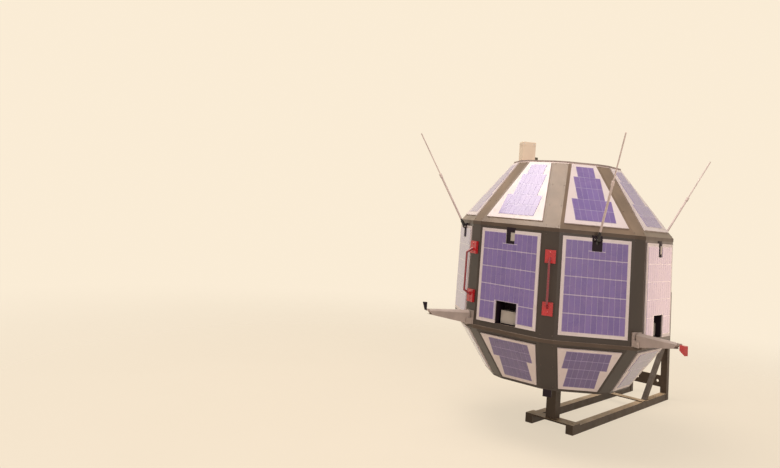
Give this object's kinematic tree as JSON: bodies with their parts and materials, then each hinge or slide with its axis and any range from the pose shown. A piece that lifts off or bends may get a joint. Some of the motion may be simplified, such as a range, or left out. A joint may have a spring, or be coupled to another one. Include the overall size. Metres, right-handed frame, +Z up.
{
  "type": "small spin-stabilised satellite on a wall bracket",
  "caption": "Eight-sided satellite with body-mounted solar cells, leaning whip antennas and folding booms, carried on the post of a braced steel wall bracket.",
  "frame": {"origin": "centre of the wall bolt pattern, on the wall face of the bracket", "axes": "+Y into the wall, +Z up along the spin axis, +X to the right seen from the front"},
  "size_m": [1.1724, 1.5487, 1.111],
  "materials": {
    "strut_metal": "matt dark grey-olive paint",
    "ring_metal": "satin olive paint",
    "panel_white": "white, slightly pink, satin",
    "solar_cell": "glossy violet-blue cover over the cells",
    "antenna_paint": "pale satin paint",
    "black_fitting": "matt black",
    "grey_fitting": "satin light grey",
    "boom_grey": "satin light grey paint",
    "red_paint": "dull red paint",
    "cream_paint": "cream paint",
    "olive_fitting": "dark olive",
    "bracket_paint": "dark brown-grey paint"
  },
  "bodies": {
    "root": {"antenna_feet": "black_fitting", "body_walls": "strut_metal", "boom_hinges": "grey_fitting", "bottom_deck": "strut_metal", "bracket_arms": "bracket_paint", "bracket_braces": "bracket_paint", "bracket_plates": "bracket_paint", "bracket_post": "bracket_paint", "bracket_uprights": "bracket_paint", "corner_struts": "strut_metal", "deck_feet": "black_fitting", "equipment_block": "grey_fitting", "low_block": "olive_fitting", "lower_cells": "solar_cell", "lower_panel_a": "panel_white", "lower_panel_b": "panel_white", "lower_panel_c": "panel_white", "lower_panel_d": "panel_white", "lower_panel_e": "panel_white", "lower_panel_f": "panel_white", "lower_panel_g": "panel_white", "lower_panel_h": "panel_white", "lower_ring": "ring_metal", "notch_blocks": "grey_fitting", "recess_trays": "black_fitting", "red_handles": "red_paint", "sensor_boxes": "grey_fitting", "side_cells": "solar_cell", "side_panel_a": "panel_white", "side_panel_b": "panel_white", "side_panel_c": "panel_white", "side_panel_d": "panel_white", "side_panel_e": "panel_white", "side_panel_f": "panel_white", "side_panel_g": "panel_white", "side_panel_h": "panel_white", "top_box": "cream_paint", "top_deck": "strut_metal", "upper_cells": "solar_cell", "upper_panel_a": "panel_white", "upper_panel_b": "panel_white", "upper_panel_c": "panel_white", "upper_panel_d": "panel_white", "upper_panel_e": "panel_white", "upper_panel_f": "panel_white", "upper_panel_g": "panel_white", "upper_panel_h": "panel_white", "upper_ring": "ring_metal"},
    "antenna_b": {"antenna_b": "antenna_paint"},
    "antenna_d": {"antenna_d": "antenna_paint"},
    "antenna_f": {"antenna_f": "antenna_paint"},
    "antenna_h": {"antenna_h": "antenna_paint"},
    "boom_ha": {"boom_ha": "boom_grey", "boom_tip_ha": "black_fitting"},
    "boom_bc": {"boom_bc": "boom_grey", "boom_tip_bc": "red_paint"},
    "boom_de": {"boom_de": "boom_grey", "boom_tip_de": "black_fitting"},
    "boom_fg": {"boom_fg": "boom_grey", "boom_tip_fg": "red_paint"}
  },
  "joints": [
    {"name": "antenna_b_fold", "type": "hinge", "parent": "root", "child": "antenna_b", "pos_m": [0.28708, -1.25709, 0.463], "axis": [0.7071, 0.7071, 0], "range_deg": [0, 140]},
    {"name": "antenna_d_fold", "type": "hinge", "parent": "root", "child": "antenna_d", "pos_m": [0.28708, -0.68292, 0.463], "axis": [-0.7071, 0.7071, 0], "range_deg": [0, 140]},
    {"name": "antenna_f_fold", "type": "hinge", "parent": "root", "child": "antenna_f", "pos_m": [-0.28708, -0.68292, 0.463], "axis": [-0.7071, -0.7071, 0], "range_deg": [0, 140]},
    {"name": "antenna_h_fold", "type": "hinge", "parent": "root", "child": "antenna_h", "pos_m": [-0.28708, -1.25709, 0.463], "axis": [0.7071, -0.7071, 0], "range_deg": [0, 140]},
    {"name": "boom_ha_fold", "type": "hinge", "parent": "root", "child": "boom_ha", "pos_m": [-0.16833, -1.37638, 0.12], "axis": [0.9239, -0.3827, 0], "range_deg": [0, 90]},
    {"name": "boom_bc_fold", "type": "hinge", "parent": "root", "child": "boom_bc", "pos_m": [0.40638, -1.13833, 0.12], "axis": [0.3827, 0.9239, 0], "range_deg": [0, 90]},
    {"name": "boom_de_fold", "type": "hinge", "parent": "root", "child": "boom_de", "pos_m": [0.16833, -0.56362, 0.12], "axis": [-0.9239, 0.3827, 0], "range_deg": [0, 90]},
    {"name": "boom_fg_fold", "type": "hinge", "parent": "root", "child": "boom_fg", "pos_m": [-0.40638, -0.80167, 0.12], "axis": [-0.3827, -0.9239, 0], "range_deg": [0, 90]}
  ]
}
